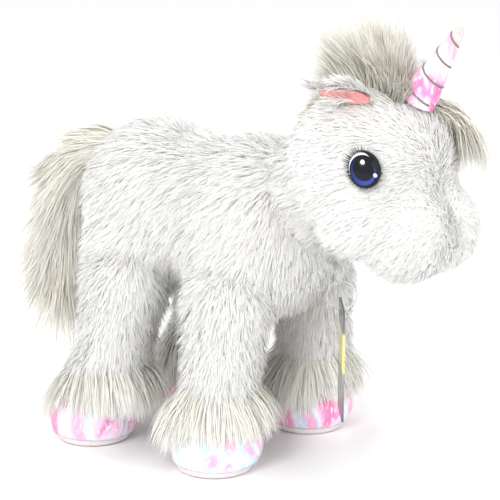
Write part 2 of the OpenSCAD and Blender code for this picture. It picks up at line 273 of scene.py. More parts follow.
def hair_material(name, roughness, root, middle, tip, shade):
    """Colour runs from a darker root to a paler tip along the strand's own map, and differs from strand to
    strand; the darker root is painted shade deep in the pile.
    """
    mat, tree, shader = material(name, tip, roughness)
    uv = tree.add("ShaderNodeUVMap", uv_map="OFBake").outputs["UV"]
    split = tree.add("ShaderNodeSeparateXYZ", {"Vector": uv})
    # painted shade: each root colour is darker than its tip to stand in for the shade deep in the pile
    along = ramp(tree, split.outputs["Y"], [(0.0, root), (0.45, middle), (1.0, tip)])
    strand = tree.add("ShaderNodeTexWhiteNoise", noise_dimensions="1D")
    step = tree.math("FLOOR", tree.math("MULTIPLY", split.outputs["X"], 48.0))
    tree.put(strand.inputs["W"], step)
    uneven = tree.math("MULTIPLY", strand.outputs["Value"], 0.5)
    tree.put(shader.inputs["Base Color"], tree.mix(uneven, along, (*shade, 1.0), "MULTIPLY"))
    return mat


def cloth_material(name, color, other, scale, roughness=0.8, depth=0.2, **values):
    """Cloth with a fine uneven tone and a fine relief."""
    mat, tree, shader = material(name, color, roughness, **values)
    noise = object_noise(tree, scale)
    tree.put(shader.inputs["Base Color"], ramp(tree, noise.outputs["Fac"], [(0.3, other), (0.7, color)]))
    fine = object_noise(tree, scale * 4)
    bump = tree.add("ShaderNodeBump", {"Height": fine.outputs["Fac"], "Distance": 0.0004, "Strength": depth})
    tree.put(shader.inputs["Normal"], bump.outputs["Normal"])
    return mat


def iridescent_material(name, stops, scale, stretch, roughness=0.25):
    """Foil cloth: streaks of pink, pale blue and yellow, with fine white glints and small creases; the pink
    is the cloth's own colour, the pale blue, near-white and yellow streaks are painted iridescent sheen and
    the fine white glints are painted highlights.
    """
    mat, tree, shader = material(name, stops[0][1], roughness, coat_weight=0.5, coat_roughness=0.15)
    coords = tree.add("ShaderNodeTexCoord").outputs["Object"]
    streaks = tree.vmath("MULTIPLY", coords, (1.0, 1.0, stretch))
    wide = tree.add("ShaderNodeTexNoise", {
        "Vector": streaks, "Scale": scale, "Detail": 2.0, "Distortion": 0.6,
    })
    # the pink stops are the cloth's colour; the pale blue, near-white and yellow stops are painted iridescent
    # sheen
    color = ramp(tree, wide.outputs["Fac"], stops)
    # painted glints: fine white highlights mixed into the base colour
    fine = tree.add("ShaderNodeTexNoise", {"Vector": streaks, "Scale": scale * 9.0, "Detail": 2.0})
    glint = tree.add("ShaderNodeMapRange", {"Value": fine.outputs["Fac"], "From Min": 0.55, "From Max": 0.68})
    share = tree.math("MULTIPLY", glint.outputs["Result"], 0.75)
    tree.put(shader.inputs["Base Color"], tree.mix(share, color, (1.0, 0.98, 1.0, 1.0)))
    creases = tree.add("ShaderNodeTexNoise", {"Vector": streaks, "Scale": scale * 4.0, "Detail": 4.0})
    bump = tree.add("ShaderNodeBump", {"Height": creases.outputs["Fac"], "Distance": 0.002, "Strength": 0.4})
    tree.put(shader.inputs["Normal"], bump.outputs["Normal"])
    return mat


# the darker root colours below are painted shade deep in the pile; the tips carry the hair's own tone
FUR = hair_material(
    "fur", 0.6, root=(0.94, 0.93, 0.905), middle=(0.955, 0.95, 0.935), tip=(0.975, 0.97, 0.96),
    shade=(0.96, 0.955, 0.935),
)
CUFF_HAIR = hair_material(
    "cuff_hair", 0.45, root=(0.84, 0.83, 0.76), middle=(0.90, 0.89, 0.83), tip=(0.94, 0.935, 0.90),
    shade=(0.90, 0.89, 0.83),
)
SILK = hair_material(
    "silky_hair", 0.45, root=(0.70, 0.68, 0.60), middle=(0.81, 0.79, 0.72), tip=(0.90, 0.885, 0.84),
    shade=(0.86, 0.84, 0.77),
)
BACKING = cloth_material("fur_backing", (0.90, 0.895, 0.87), (0.84, 0.835, 0.80), 900.0, 0.9)


# ---- strands, by geometry nodes ----

FUR_INPUTS = (
    ("Density", "NodeSocketFloat", 1.0e6),
    ("Length", "NodeSocketFloat", 0.011),
    ("Width", "NodeSocketFloat", 0.0006),
    ("Clump Density", "NodeSocketFloat", 4.0e4),
    ("Clump", "NodeSocketFloat", 0.6),
    ("Clump Scatter", "NodeSocketFloat", 0.3),
    ("Strand Scatter", "NodeSocketFloat", 0.25),
    ("Length Scatter", "NodeSocketFloat", 0.3),
    ("Frizz", "NodeSocketFloat", 0.06),
    ("Roundness", "NodeSocketFloat", 0.85),
    ("Turn", "NodeSocketFloat", 1.0),
    ("Seed", "NodeSocketInt", 1),
    ("Material", "NodeSocketMaterial", None),
)


def attribute(tree, name, kind="FLOAT_VECTOR"):
    node = tree.add("GeometryNodeInputNamedAttribute", {"Name": name}, data_type=kind)
    return node.outputs["Attribute"]


def store(tree, geometry, name, value, kind="FLOAT_VECTOR", domain="POINT"):
    node = tree.add("GeometryNodeStoreNamedAttribute", data_type=kind, domain=domain)
    tree.put(node.inputs["Geometry"], geometry)
    node.inputs["Name"].default_value = name
    tree.put(node.inputs["Value"], value)
    return node.outputs["Geometry"]


def random_vector(tree, seed, ident=None):
    node = tree.add("FunctionNodeRandomValue", data_type="FLOAT_VECTOR")
    slots = [s for s in node.inputs if s.enabled]
    by_name = {s.name: s for s in slots}
    by_name["Min"].default_value = (-1, -1, -1)
    by_name["Max"].default_value = (1, 1, 1)
    tree.put(by_name["Seed"], seed)
    if ident is not None:
        tree.put(by_name["ID"], ident)
    return first_output(node)


def random_float(tree, seed, ident=None):
    node = tree.add("FunctionNodeRandomValue", data_type="FLOAT")
    by_name = {s.name: s for s in node.inputs if s.enabled}
    tree.put(by_name["Seed"], seed)
    if ident is not None:
        tree.put(by_name["ID"], ident)
    return first_output(node)


def strand_tree(name, segments):
    """Grows tapered ribbons from a surface that carries "start", "end", "length" and "cover".

    start and end are a strand's directions at its root and its tip, length and cover are factors.
    """
    group = bpy.data.node_groups.new(name, "GeometryNodeTree")
    group.interface.new_socket("Geometry", in_out="INPUT", socket_type="NodeSocketGeometry")
    for label, kind, value in FUR_INPUTS:
        socket = group.interface.new_socket(label, in_out="INPUT", socket_type=kind)
        if value is not None:
            socket.default_value = value
    group.interface.new_socket("Geometry", in_out="OUTPUT", socket_type="NodeSocketGeometry")
    t = Tree(group)
    given = t.add("NodeGroupInput").outputs
    skin = given["Geometry"]
    seed = given["Seed"]

    def seeded(step):
        return t.math("ADD", seed, float(step))

    points = t.add("GeometryNodeDistributePointsOnFaces", distribute_method="RANDOM")
    t.put(points.inputs["Mesh"], skin)
    t.put(points.inputs["Density"], t.math("MULTIPLY", given["Density"], attribute(t, "cover", "FLOAT")))
    t.put(points.inputs["Seed"], seed)
    clumps = t.add("GeometryNodeDistributePointsOnFaces", distribute_method="RANDOM")
    t.put(clumps.inputs["Mesh"], skin)
    t.put(clumps.inputs["Density"], given["Clump Density"])
    t.put(clumps.inputs["Seed"], seeded(1))

    here = t.add("GeometryNodeInputPosition").outputs["Position"]
    nearest = t.add("GeometryNodeSampleNearest", {"Geometry": clumps.outputs["Points"]}, domain="POINT")
    t.put(nearest.inputs["Sample Position"], here)
    clump_id = nearest.outputs["Index"]
    clump_at = t.add("GeometryNodeSampleIndex", data_type="FLOAT_VECTOR", domain="POINT")
    t.put(clump_at.inputs["Geometry"], clumps.outputs["Points"])
    t.put(clump_at.inputs["Value"], here)
    t.put(clump_at.inputs["Index"], clump_id)
    pull = t.vmath("SUBTRACT", clump_at.outputs["Value"], here)

    clump_turn = t.scaled(random_vector(t, seeded(2), clump_id), given["Clump Scatter"])
    strand_turn = t.scaled(random_vector(t, seeded(3)), given["Strand Scatter"])
    scatter = t.vmath("ADD", clump_turn, strand_turn)
    start = t.vmath("NORMALIZE", t.vmath("ADD", attribute(t, "start"), scatter))
    end = t.vmath("NORMALIZE", t.vmath("ADD", attribute(t, "end"), scatter))
    shorter = t.math("MULTIPLY", random_float(t, seeded(4)), given["Length Scatter"])
    length = t.math("MULTIPLY", given["Length"], attribute(t, "length", "FLOAT"))
    length = t.math("MULTIPLY", length, t.math("SUBTRACT", 1.0, shorter))

    roots = points.outputs["Points"]
    for label, value in (
        ("r_root", here), ("r_pull", pull), ("r_start", start), ("r_end", end),
        ("r_normal", points.outputs["Normal"]), ("r_roll", random_vector(t, seeded(5))),
    ):
        roots = store(t, roots, label, value)
    for label, value in (("r_length", length), ("r_tone", random_float(t, seeded(6)))):
        roots = store(t, roots, label, value, "FLOAT")

    ribbon = t.add("GeometryNodeMeshGrid", {
        "Size X": 1.0, "Size Y": 1.0, "Vertices X": 2, "Vertices Y": segments + 1,
    }).outputs["Mesh"]
    split = t.add("ShaderNodeSeparateXYZ", {"Vector": here})
    ribbon = store(t, ribbon, "r_along", t.math("ADD", split.outputs["Y"], 0.5), "FLOAT")
    ribbon = store(t, ribbon, "r_across", split.outputs["X"], "FLOAT")
    placed = t.add("GeometryNodeInstanceOnPoints", {"Points": roots, "Instance": ribbon})
    strands = t.add("GeometryNodeRealizeInstances", {"Geometry": placed}).outputs["Geometry"]

    along = attribute(t, "r_along", "FLOAT")
    across = attribute(t, "r_across", "FLOAT")
    root = attribute(t, "r_root")
    a = attribute(t, "r_start")
    b = attribute(t, "r_end")
    reach = attribute(t, "r_length", "FLOAT")
    square = t.math("MULTIPLY", along, along)
    left = t.math("SUBTRACT", 1.0, along)
    power = t.math("ADD", given["Turn"], 1.0)
    share_a = t.math("DIVIDE", t.math("SUBTRACT", 1.0, t.math("POWER", left, power)), power)
    share_b = t.math("SUBTRACT", along, share_a)
    path = t.scaled(t.vmath("ADD", t.scaled(a, share_a), t.scaled(b, share_b)), reach)
    gather = t.scaled(attribute(t, "r_pull"), t.math("MULTIPLY", square, given["Clump"]))
    wave = t.add("ShaderNodeTexNoise", {"Scale": 140.0, "Detail": 1.0})
    t.put(wave.inputs["Vector"], t.vmath("ADD", root, t.scaled(path, 0.8)))
    curl = t.vmath("SUBTRACT", wave.outputs["Color"], (0.5, 0.5, 0.5))
    curl = t.scaled(t.scaled(curl, reach), t.math("MULTIPLY", along, given["Frizz"]))
    normal = attribute(t, "r_normal")
    way = t.vmath("ADD", a, b)
    facing = t.vmath("ADD", normal, t.scaled(attribute(t, "r_roll"), 0.9))
    side = t.vmath("NORMALIZE", t.vmath("CROSS_PRODUCT", way, facing))
    face = t.vmath("NORMALIZE", t.vmath("CROSS_PRODUCT", side, way))
    flip = t.math("SIGN", t.vmath("DOT_PRODUCT", face, normal))
    side = t.scaled(side, flip)
    face = t.scaled(face, flip)
    taper = t.math("SUBTRACT", 1.0, t.math("MULTIPLY", square, 0.85))
    width = t.math("MULTIPLY", t.math("MULTIPLY", given["Width"], taper), across)
    place = t.vmath("ADD", t.vmath("ADD", root, path), t.vmath("ADD", gather, curl))
    place = t.vmath("ADD", place, t.scaled(side, width))
    moved = t.add("GeometryNodeSetPosition", {"Geometry": strands, "Position": place}).outputs["Geometry"]

    column = t.math("MULTIPLY_ADD", attribute(t, "r_tone", "FLOAT"), 0.96, 0.02)
    column = t.math("MULTIPLY_ADD", across, 0.012, column)
    row = t.math("MULTIPLY_ADD", along, 0.96, 0.02)
    uv = t.add("ShaderNodeCombineXYZ", {"X": column, "Y": row}).outputs["Vector"]
    mapped = store(t, moved, "OFBake", uv, "FLOAT2", "CORNER")

    roundness = given["Roundness"]
    soft = t.vmath("ADD", t.scaled(normal, roundness), t.scaled(face, t.math("SUBTRACT", 1.0, roundness)))
    mapped = store(t, mapped, "r_shade", t.vmath("NORMALIZE", soft))
    painted = t.add("GeometryNodeSetMaterial", {"Geometry": mapped})
    t.put(painted.inputs["Material"], given["Material"])
    t.put(t.add("NodeGroupOutput").inputs["Geometry"], painted.outputs["Geometry"])
    return group


TREES = {n: strand_tree(f"strands_{n}", n) for n in (3, 6)}


def set_attribute(mesh, name, values, kind):
    layer = mesh.attributes.new(name, kind, "POINT")
    key = "vector" if kind == "FLOAT_VECTOR" else "value"
    layer.data.foreach_set(key, np.ascontiguousarray(values, dtype=np.float32).ravel())


def grow(name, skin, start, end, mat, trim=None, cover=None, segments=3, **inputs):
    """Fur or hair as one plain mesh that grows from a copy of a skin. trim and cover are factors per point.

    start and end are the strands' directions per point. The other inputs are those of FUR_INPUTS.
    """
    mesh = skin.data.copy()
    count = len(mesh.vertices)
    set_attribute(mesh, "start", unit(start), "FLOAT_VECTOR")
    set_attribute(mesh, "end", unit(end), "FLOAT_VECTOR")
    set_attribute(mesh, "length", np.ones(count) if trim is None else trim, "FLOAT")
    set_attribute(mesh, "cover", np.ones(count) if cover is None else cover, "FLOAT")
    obj = new_object(name, mesh)
    modifier = obj.modifiers.new("strands", "NODES")
    modifier.node_group = TREES[segments]
    sockets = {
        item.name: item.identifier
        for item in TREES[segments].interface.items_tree
        if getattr(item, "in_out", "") == "INPUT"
    }
    inputs = {"density": 1.0e6, **inputs}
    inputs["density"] *= DENSITY_SCALE
    for key, value in {**inputs, "material": mat}.items():
        modifier[sockets[key.replace("_", " ").title()]] = value
    applied(obj)
    mesh = obj.data
    shade = np.empty(len(mesh.vertices) * 3, dtype=np.float32)
    mesh.attributes["r_shade"].data.foreach_get("vector", shade)
    for name_used in [a.name for a in mesh.attributes if a.name.startswith("r_")]:
        mesh.attributes.remove(mesh.attributes[name_used])
    mesh.shade_smooth()
    mesh.normals_split_custom_set_from_vertices(shade.reshape(-1, 3))
    print(name, len(mesh.polygons) * 2, "triangles")
    return obj


def finish_piece(obj, body, slot_name, *nodes):
    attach(obj, body)
    if nodes:
        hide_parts(*nodes)
    return obj


# ---- torso ----

SINK = 7.0 * MM  # how far a skin lies under the fur's outline


def build_torso(bm):
    ball(bm, RUMP, (RUMP_R - SINK,) * 3)
    ball(bm, CHEST, (CHEST_R - SINK,) * 3)
    limb(bm, RUMP, CHEST, 0.9 * RUMP_R - SINK, 0.9 * CHEST_R - SINK)
    for x in (HIND_X + 15 * MM, FRONT_X + 3 * MM):
        for side in SIDES.values():
            ball(bm, Vector((x, side * 25 * MM, HIP_Z + 14 * MM)), (24 * MM, 19 * MM, 28 * MM))


torso = melt("torso_skin", build_torso)
torso.data.materials.append(BACKING)
finish_piece(torso, "torso", "white_plush", "torso_skin_right", "torso_skin_left", "belly_panel",
             "torso_stuffing", "bean_bag")


BODY_PILE = dict(
    density=2.9e6, width=0.4 * MM, clump_density=1.4e5, clump=0.25, clump_scatter=0.22, strand_scatter=0.26,
    roundness=0.95,
)


def comb(skin, flow, rise, droop):
    """Directions for fur that lies along flow: rise lifts the root, droop bends the tip down."""
    normal = normals_of(skin.data)
    lie = unit(along_surface(np.broadcast_to(flow, normal.shape), normal))
    start = normal * rise + lie * (1 - rise)
    end = normal * rise * 0.45 + lie + np.array([0, 0, -droop])
    return start, end


SPOT = points_of(torso.data)
start, end = comb(torso, np.array([-0.55, 0.0, -0.85]), 0.5, 0.25)
MIDDLE_X = (FRONT_X + HIND_X) / 2
for label, side in SIDES.items():
    for part, ahead in (("front", 1), ("back", -1)):
        cover = ((SPOT[:, 1] * side >= 0) & ((SPOT[:, 0] - MIDDLE_X) * ahead >= 0)).astype(float)
        fur = grow(f"torso_fur_{label}_{part}", torso, start, end, FUR, cover=cover,
                   seed=20 + 2 * side + ahead, **BODY_PILE)
        finish_piece(fur, "torso", "white_plush")


# ---- legs ----

def leg_parts(leg):
    side = SIDES[leg.split("_")[1]]
    foot = centre(f"{leg}_sole")
    hip = pivot(f"{leg}_leg_swing")
    cuff_low, cuff_high = box(f"{leg}_cuff")
    hoof_top = box(f"{leg}_hoof")[1].z

    hind = leg.startswith("hind")
    top = hip + Vector(((18 if hind else 4) * MM, -side * 5 * MM, -2 * MM))
    knee = Vector((foot.x + (15 if hind else 4) * MM, foot.y, hoof_top + 22 * MM))
    thin = LEG_R - SINK + 1 * MM

    def build(bm):
        ball(bm, top, (20 * MM, 17 * MM, 20 * MM))
        limb(bm, (foot.x, foot.y, hoof_top - 4 * MM), knee, thin, thin)
        ball(bm, knee, (thin,) * 3)
        limb(bm, knee, top, thin, thin + 2 * MM)

    skin = melt(f"{leg}_leg", build, rounds=8)
    skin.data.materials.append(BACKING)
    finish_piece(skin, f"{leg}_leg", "white_plush", f"{leg}_leg_skin", f"{leg}_leg_stuffing", f"{leg}_cuff")

    spot = points_of(skin.data)
    normal = normals_of(skin.data)
    start, end = comb(skin, np.array([-0.12, 0.0, -1.0]), 0.5, 0.2)
    cover = smoothstep(hoof_top - 2 * MM, hoof_top + 4 * MM, spot[:, 2]) * (normal[:, 2] > -0.8)
    fur = grow(f"{leg}_leg_fur", skin, start, end, FUR, cover=cover, seed=40 + LEGS.index(leg), **BODY_PILE)
    finish_piece(fur, f"{leg}_leg", "white_plush")

    out = unit((spot - np.array([foot.x, foot.y, 0])) * np.array([1, 1, 0]))
    band = smoothstep(hoof_top - 3 * MM, hoof_top, spot[:, 2])
    band = band * smoothstep(cuff_high.z + 4 * MM, cuff_high.z - 4 * MM, spot[:, 2])
    start = out * 0.95 + np.array([0, 0, -0.6])
    end = out * 0.16 + np.array([0, 0, -1.0])
    turned = np.degrees(np.arctan2(out[:, 1], out[:, 0])) - 20 * side
    toe_side = smoothstep(100, 55, np.abs(turned))
    tall = (spot[:, 2] - (4 + 9 * toe_side) * MM) / (30 * MM)
    cuff = grow(f"{leg}_cuff_hair", skin, start, end, CUFF_HAIR, cover=band, trim=np.clip(tall, 0.45, 1.2),
                length=0.031, segments=6, density=2.2e6, seed=60 + LEGS.index(leg), clump_density=3.0e4,
                clump=0.3, clump_scatter=0.14, strand_scatter=0.10, length_scatter=0.35, width=0.00045,
                frizz=0.05, roundness=0.5)
    finish_piece(cuff, f"{leg}_leg", "long_silky_hair")


for name in LEGS:
    leg_parts(name)


# ---- head ----

EYE_AXIS = {side: (centre(f"eye_{side}") - HEAD).normalized() for side in SIDES}
LOBE_Y = 7.5 * MM
LOBE_R = 23 * MM


def build_head(bm):
    ball(bm, HEAD, (HEAD_R - SINK, HEAD_R - SINK + 1 * MM, HEAD_R - SINK))
    limb(bm, NECK, HEAD, 27 * MM, 30 * MM)
    ball(bm, NECK, (27 * MM,) * 3)
    for side in SIDES.values():
        ball(bm, MUZZLE + Vector((-1 * MM, side * (LOBE_Y + 3 * MM), -4.5 * MM)), (LOBE_R - 2 * MM,) * 3)
        ball(bm, HEAD + Vector((10 * MM, side * 24 * MM, -18 * MM)), (19 * MM, 17 * MM, 18 * MM))


head = melt("head_skin", build_head, rounds=6)
head.data.materials.append(BACKING)
finish_piece(head, "head", "white_plush", "head_skin_right", "head_skin_left", "face_strip", "head_stuffing",
             "eye_washer_right", "eye_washer_left", "neck_core")

SPOT = points_of(head.data)
NORMAL = normals_of(head.data)
NOSE = np.array(MUZZLE + Vector((LOBE_R, 0, 4 * MM)))


def near(points, place, radius, blend):
    """1 within radius of a place, 0 beyond radius + blend."""
    gap = np.linalg.norm(points - np.array(place), axis=1)
    return 1.0 - smoothstep(radius, radius + blend, gap)


from_nose = unit(SPOT - NOSE)
flow = from_nose + np.array([-0.25, 0, -0.55])
muzzle_part = near(SPOT, MUZZLE + Vector((5 * MM, 0, 0)), 24 * MM, 8 * MM)
face_part = smoothstep(HEAD.x + 2 * MM, HEAD.x + 24 * MM, SPOT[:, 0])
start, end = comb(head, flow, 0.42, 0.2)
trim = 0.9 - 0.35 * muzzle_part - 0.25 * face_part
cover = np.ones(len(SPOT))
for side in SIDES:
    eye = HEAD + EYE_AXIS[side] * (HEAD_R - SINK)
    cover *= 1.0 - near(SPOT, eye, 5.5 * MM, 1.5 * MM)
    trim *= 1.0 - 0.55 * near(SPOT, eye, 7 * MM, 9 * MM)
for label, side in SIDES.items():
    fur = grow(f"head_fur_{label}", head, start, end, FUR, cover=cover * (SPOT[:, 1] * side >= 0), trim=trim,
               density=3.6e6, seed=80 + side, clump_density=1.6e5, clump=0.25, clump_scatter=0.2,
               strand_scatter=0.24, width=0.00036, roundness=0.95)
    finish_piece(fur, "head", "white_plush")


# ---- mane and forelock ----

def crest_angle(points):
    """Degrees round the head in the middle plane: 0 is forwards and 90 is up."""
    return np.degrees(np.arctan2(points[:, 2] - HEAD.z, points[:, 0] - HEAD.x))


angle = crest_angle(SPOT)
radial = unit((SPOT - np.array(HEAD)) * np.array([1, 0, 1]))
back = np.stack([-radial[:, 2], np.zeros(len(SPOT)), radial[:, 0]], axis=1)
sideways = np.stack([np.zeros(len(SPOT)), SPOT[:, 1] / (9 * MM), np.zeros(len(SPOT))], axis=1)
lean_back = ((angle - 78) / 60)[:, None]
peak = 0.26 + 0.74 * np.exp(-((angle - 90) / 21) ** 2)
start = radial + back * lean_back * 0.4 + sideways * 0.22
end = radial + back * (lean_back * 0.8 + 0.3) + sideways * 0.7 + np.array([0, 0, -0.35])
for label, low, high in (("front", 58, 108), ("back", 108, 172)):
    band = (np.abs(SPOT[:, 1]) < 9 * MM) & (angle >= low) & (angle < high)
    mane = grow(f"mane_hair_{label}", head, start, end, SILK, cover=band.astype(float), trim=peak,
                length=0.041, segments=6, density=9.0e6, seed=90 + low,
                clump_density=4.0e4, clump=0.55, clump_scatter=0.28,
                strand_scatter=0.16, length_scatter=0.4, width=0.00045, roundness=0.3, frizz=0.2)
    finish_piece(mane, "head", "long_silky_hair", *(["mane"] if label == "front" else []))

lock = near(SPOT, HEAD + Vector((20 * MM, 13 * MM, 34 * MM)), 8 * MM, 3 * MM)
start = NORMAL * 0.35 + np.array([0.45, 0.45, -0.1])
end = np.broadcast_to(np.array([0.12, 0.12, -1.0]), SPOT.shape)
forelock = grow("forelock_hair", head, start, end, SILK, cover=lock, length=0.058, segments=6,
                density=9.0e6, seed=95, clump_density=4.0e4, clump=0.6, clump_scatter=0.22,
                strand_scatter=0.12, length_scatter=0.5, width=0.0005, roundness=0.3, frizz=0.12, turn=1.6)
finish_piece(forelock, "head", "long_silky_hair", "forelock")


# ---- tail ----

TAIL_ROOT = TAIL + Vector((16 * MM, 0, -7 * MM))
TAIL_BEND = TAIL + Vector((-20 * MM, 0, -2 * MM))
TAIL_END = TAIL + Vector((-26 * MM, 0, -76 * MM))


def tail_place(t):
    """A point on the tail's smooth curve; t runs from 0 at the rump to 1."""
    return TAIL_ROOT * (1 - t) ** 2 + TAIL_BEND * 2 * t * (1 - t) + TAIL_END * t ** 2


def build_tail(bm):
    steps = 16
    for step in range(steps + 1):
        t = step / steps
        radius = (5.0 + 4.0 * math.sin(math.pi * min(1.0, t + 0.15)) - 1.5 * t) * MM
        ball(bm, tail_place(t), (radius, radius * 1.3, radius))


tail_skin = melt("tail_core_skin", build_tail, voxel=2 * MM, rounds=6)
tail_skin.data.materials.append(BACKING)
finish_piece(tail_skin, "tail", "long_silky_hair", "tail_core")
spot = points_of(tail_skin.data)
normal = normals_of(tail_skin.data)
curve_t = np.linspace(0, 1, 41)
curve = np.array([tail_place(t) for t in curve_t])
nearest = np.argmin(np.linalg.norm(spot[:, None, :] - curve[None], axis=2), axis=1)
arc = curve_t[nearest]
way = unit(np.gradient(curve, axis=0))[nearest]
spread = 0.12 + 0.38 * arc[:, None]
start = way + normal * (0.1 + spread)
fall = np.array([-0.26, 0, -0.8]) * (0.4 + 0.6 * arc[:, None])
end = way * 0.5 + normal * spread * np.array([1.0, 0.8, 0.5]) + fall
trim = 0.5 + 0.6 * arc
for label, low, high in (("upper", -1, 0.55), ("lower", 0.55, 2)):
    cover = ((arc >= low) & (arc < high)).astype(float)
    tail = grow(f"tail_plume_{label}", tail_skin, start, end, SILK, cover=cover, trim=trim,
                length=0.046, segments=6, density=4.5e6, seed=97 + int(high),
                clump_density=4.0e4, clump=0.5, clump_scatter=0.22,
                strand_scatter=0.12, length_scatter=0.45, width=0.0005, roundness=0.3, frizz=0.12)
    finish_piece(tail, "tail", "long_silky_hair", *(["tail_hair"] if label == "upper" else []))


# ---- hooves ----

# the pale blue, near-white and yellow stops are painted iridescent sheen over the pink cloth
IRIDESCENT = iridescent_material("iridescent_cloth", [
    (0.28, (0.78, 0.14, 0.42)), (0.37, (0.88, 0.30, 0.58)), (0.43, (0.93, 0.62, 0.82)),
    (0.48, (0.92, 0.88, 0.94)), (0.53, (0.58, 0.80, 0.90)), (0.58, (0.88, 0.50, 0.80)),
    (0.65, (0.92, 0.42, 0.56)), (0.74, (0.84, 0.84, 0.45)),
], 62.0, 0.4)
SOLE = cloth_material("pale_satin", (0.90, 0.84, 0.83), (0.82, 0.74, 0.74), 300.0, 0.5, 0.3)


def revolve(profile, around=64, wobble=None):
    """Points and faces of a form turned about Z from (radius, height) pairs; the ends are closed."""
    verts = []
    for radius, height in profile:
        for i in range(around):
            a = 2 * math.pi * i / around
            r = radius + (wobble(a, height) if wobble else 0.0)
            verts.append((r * math.cos(a), r * math.sin(a), height))
    faces = []
    for ring in range(len(profile) - 1):
        for i in range(around):
            j = (i + 1) % around
            low, high = ring * around, (ring + 1) * around
            faces.append((low + i, low + j, high + j, high + i))
    faces.append(tuple(reversed(range(around))))
    faces.append(tuple((len(profile) - 1) * around + i for i in range(around)))
    return verts, faces


def moved(verts, place):
    return [(v[0] + place[0], v[1] + place[1], v[2] + place[2]) for v in verts]


def build_hoof(leg):
    foot = centre(f"{leg}_sole")
    sole_top = box(f"{leg}_sole")[1].z
    hoof_top = box(f"{leg}_hoof")[1].z
    phase = LEGS.index(leg) * 1.7

    def creases(a, height):
        pull = math.sin(math.pi * (height - sole_top) / (hoof_top - sole_top))
        toe = max(0.0, math.cos(a)) ** 2 * 3.0 * MM * pull
        return toe + 0.3 * MM * pull * (math.sin(9 * a + phase) + 0.6 * math.sin(17 * a + 2 * phase))

    rows = 16
    low_edge = sole_top + 1.5 * MM
    profile = []
    for i in range(rows + 1):
        share = i / rows
        bulge = math.sin(math.pi * (0.2 + 0.75 * share))
        profile.append((LEG_R - 2.2 * MM + 2.8 * MM * bulge, low_edge + share * (hoof_top - low_edge)))
    verts, faces = revolve(profile, wobble=creases)
    hoof = new_object(f"{leg}_hoof_cover", mesh_from("hoof", moved(verts, (foot.x, foot.y, 0)), faces))
    hoof.data.materials.append(IRIDESCENT)
    finish_piece(hoof, f"{leg}_leg", "iridescent_cloth", f"{leg}_hoof", f"{leg}_hoof_beans")
    edge = [(LEG_R - 7.0 * MM, 0.0), (LEG_R - 4.8 * MM, 0.2 * MM), (LEG_R - 3.2 * MM, 1.0 * MM),
            (LEG_R - 2.3 * MM, 2.2 * MM), (LEG_R - 1.9 * MM, 3.4 * MM),
            (LEG_R - 2.1 * MM, low_edge + 0.6 * MM)]
    verts, faces = revolve(edge)
    sole = new_object(f"{leg}_sole_pad", mesh_from("sole", moved(verts, (foot.x, foot.y, 0)), faces))
    sole.data.materials.append(SOLE)
    finish_piece(sole, f"{leg}_leg", "pale_satin", f"{leg}_sole")


for name in LEGS:
    build_hoof(name)


# ---- horn ----

HORN_BASE_R = 8.5 * MM
HORN_TIP_R = 2.4 * MM
HORN_LENGTH = 36 * MM
HORN_LEAN = math.radians(32)
HORN_TURNS = 3.6
THREAD_R = 0.5 * MM
HORN_FRAME = Matrix.Translation(HORN) @ Matrix.Rotation(HORN_LEAN, 4, "Y")


def horn_radius(height):
    share = min(max(height / HORN_LENGTH, 0.0), 1.0)
    return HORN_BASE_R + (HORN_TIP_R - HORN_BASE_R) * share


def horn_point(a, height, lift=0.0):
    r = horn_radius(height) + lift
    return HORN_FRAME @ Vector((r * math.cos(a), r * math.sin(a), height))


def build_horn():
    around, rows = 64, 110
    verts = []
    for row in range(rows + 1):
        height = -2 * MM + (HORN_LENGTH + 2 * MM) * row / rows
        for i in range(around):
            a = 2 * math.pi * i / around
            phase = (height / HORN_LENGTH * HORN_TURNS + a / (2 * math.pi)) % 1.0
            puff = 0.7 * MM * abs(math.sin(math.pi * phase)) ** 0.7 - 0.4 * MM
            verts.append(horn_point(a, height, puff * (0.5 + 0.5 * horn_radius(height) / HORN_BASE_R)))
    for row in range(1, 9):
        bend = math.pi / 2 * row / 8
        for i in range(around):
            a = 2 * math.pi * i / around
            r = max(HORN_TIP_R * math.cos(bend), 0.01 * MM)
            verts.append(HORN_FRAME @ Vector(
                (r * math.cos(a), r * math.sin(a), HORN_LENGTH + HORN_TIP_R * math.sin(bend))))
    total = rows + 9
    faces = []
    for row in range(total - 1):
        for i in range(around):
            j = (i + 1) % around
            faces.append((row * around + i, row * around + j, (row + 1) * around + j, (row + 1) * around + i))
    faces.append(tuple(reversed(range(around))))
    faces.append(tuple((total - 1) * around + i for i in range(around)))
    horn = new_object("horn_cloth", mesh_from("horn", verts, faces))
    horn.data.materials.append(IRIDESCENT)
    finish_piece(horn, "horn", "iridescent_cloth", "horn_cover", "horn_stuffing")


def tube(points, radius, around=8):
    verts, faces = [], []
    for k, place in enumerate(points):
        ahead = points[min(k + 1, len(points) - 1)] - points[max(k - 1, 0)]
        turn = ahead.to_track_quat("Z", "Y").to_matrix()
        for i in range(around):
            a = 2 * math.pi * i / around
            verts.append(place + turn @ Vector((radius * math.cos(a), radius * math.sin(a), 0)))
    for k in range(len(points) - 1):
        for i in range(around):
            j = (i + 1) % around
            faces.append((k * around + i, k * around + j, (k + 1) * around + j, (k + 1) * around + i))
    faces.append(tuple(reversed(range(around))))
    faces.append(tuple((len(points) - 1) * around + i for i in range(around)))
    return verts, faces


THREAD = cloth_material("dark_thread", (0.16, 0.13, 0.12), (0.30, 0.26, 0.24), 1800.0, 0.6, 0.4)


def build_thread():
    steps = 260
    points = []
    for k in range(steps + 1):
        height = HORN_LENGTH * (0.02 + 0.93 * k / steps)
        a = -2 * math.pi * HORN_TURNS * height / HORN_LENGTH
        points.append(horn_point(a, height, -0.2 * MM))
    verts, faces = tube(points, THREAD_R)
    thread = new_object("horn_winding", mesh_from("thread", verts, faces))
    thread.data.materials.append(THREAD)
    finish_piece(thread, "horn", "dark_thread", "horn_thread")


build_horn()
build_thread()


# ---- eyes ----

